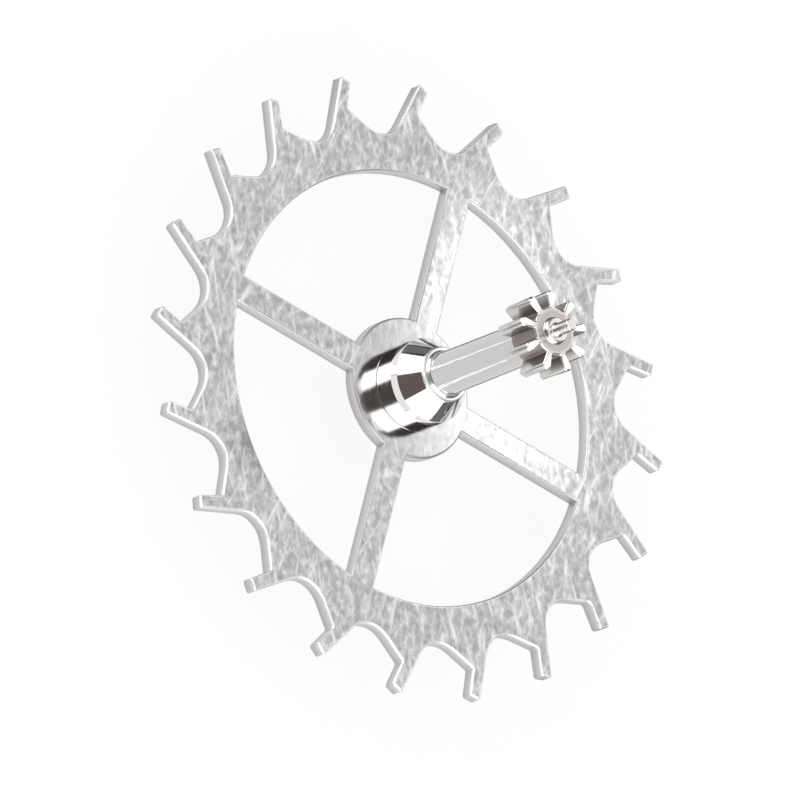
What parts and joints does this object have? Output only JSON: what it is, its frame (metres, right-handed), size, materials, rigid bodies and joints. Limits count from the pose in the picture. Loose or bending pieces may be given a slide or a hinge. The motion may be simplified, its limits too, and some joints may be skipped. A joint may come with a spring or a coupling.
{
  "type": "watch escape wheel",
  "caption": "Watch escape wheel with club teeth, riveted with a stepped collet onto its escape pinion, which has a long polished arbor and two fine pivots.",
  "frame": {"origin": "on the arbor's axis at the lower bearing shoulder, the face that sets the arbor's height in the watch", "axes": "+Z along the arbor's axis from the wheel towards the pinion; the wheel's arms lie along X and Y"},
  "size_m": [0.005, 0.005, 0.0026],
  "materials": {
    "lapped_steel": "lapped flat with fine random scratches, polished edges",
    "polished_steel": "turned and polished bright"
  },
  "bodies": {
    "root": {"escape_wheel": "lapped_steel", "hub_collet": "polished_steel", "pinion_arbor": "polished_steel"}
  },
  "joints": []
}
